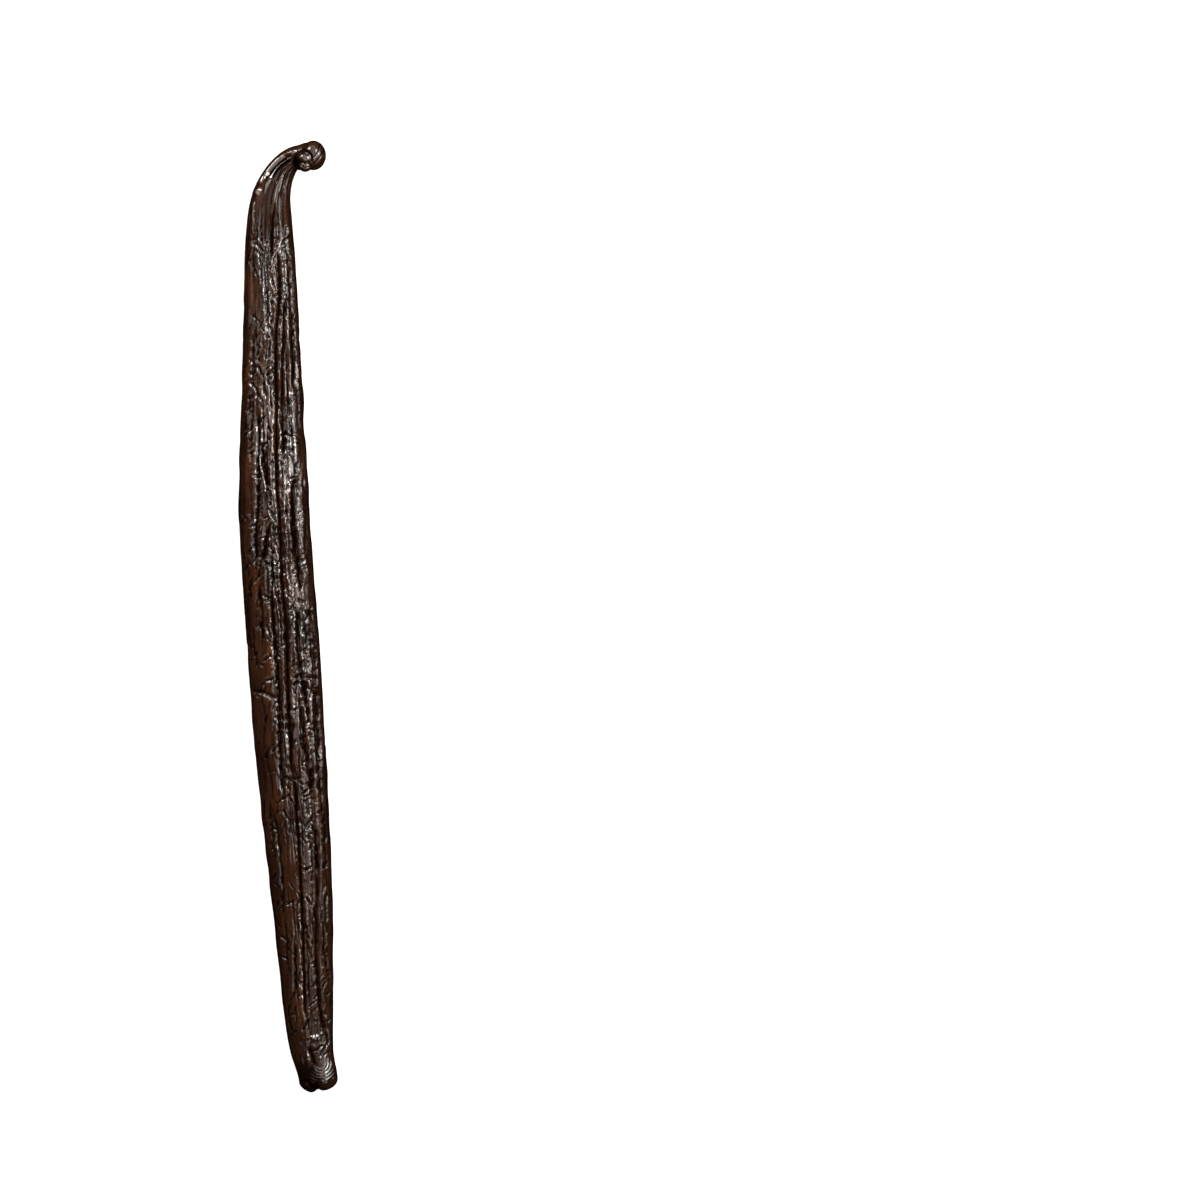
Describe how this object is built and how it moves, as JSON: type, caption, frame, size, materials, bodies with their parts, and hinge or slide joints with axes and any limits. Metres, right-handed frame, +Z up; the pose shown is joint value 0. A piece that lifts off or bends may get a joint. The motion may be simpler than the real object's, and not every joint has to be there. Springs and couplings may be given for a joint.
{
  "type": "vanilla pod",
  "caption": "Long, flattened, deeply wrinkled cured vanilla pod with a hooked, curled stem end and a puckered blossom end, lying on its flat side.",
  "frame": {"origin": "middle of the pod's box, on the surface that the pod lies on", "axes": "+Y along the pod towards the hooked stem end, +Z up out of the shown side, +X to the side that the hook points to"},
  "size_m": [0.0174, 0.165, 0.0081],
  "materials": {
    "pod_skin": "very dark brown, oily, wrinkled skin with narrow highlights"
  },
  "bodies": {
    "root": {"vanilla_pod": "pod_skin"}
  },
  "joints": []
}
